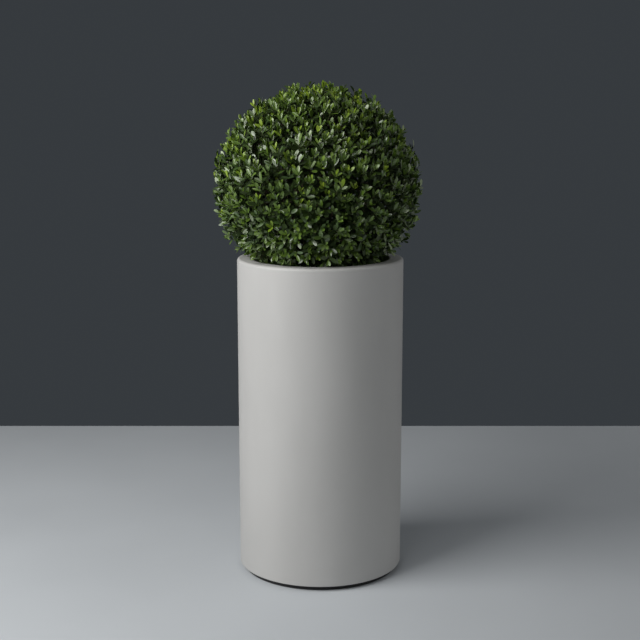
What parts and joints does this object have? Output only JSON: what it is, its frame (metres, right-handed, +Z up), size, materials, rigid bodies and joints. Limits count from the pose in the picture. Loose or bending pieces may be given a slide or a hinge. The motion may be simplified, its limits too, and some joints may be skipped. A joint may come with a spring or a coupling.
{
  "type": "potted topiary ball",
  "caption": "Clipped box shrub grown as a dense leafy ball on a short stem, in a tall round planter with a flat folded lip and a set-back foot.",
  "frame": {"origin": "middle of the foot's flat underside, on the surface that the planter stands on", "axes": "+Z up along the planter's axis; the ball stands slightly to the -X side of that axis"},
  "size_m": [0.4997, 0.5001, 1.1913],
  "materials": {
    "planter": "matt grey lacquer",
    "planter_foot": "dark matt",
    "soil": "damp, crumbed",
    "trunk": "grey-brown bark",
    "foliage": "small glossy leaves"
  },
  "bodies": {
    "root": {"planter": "planter", "planter_foot": "planter_foot", "soil": "soil", "trunk": "trunk", "foliage_ball": "foliage"}
  },
  "joints": []
}
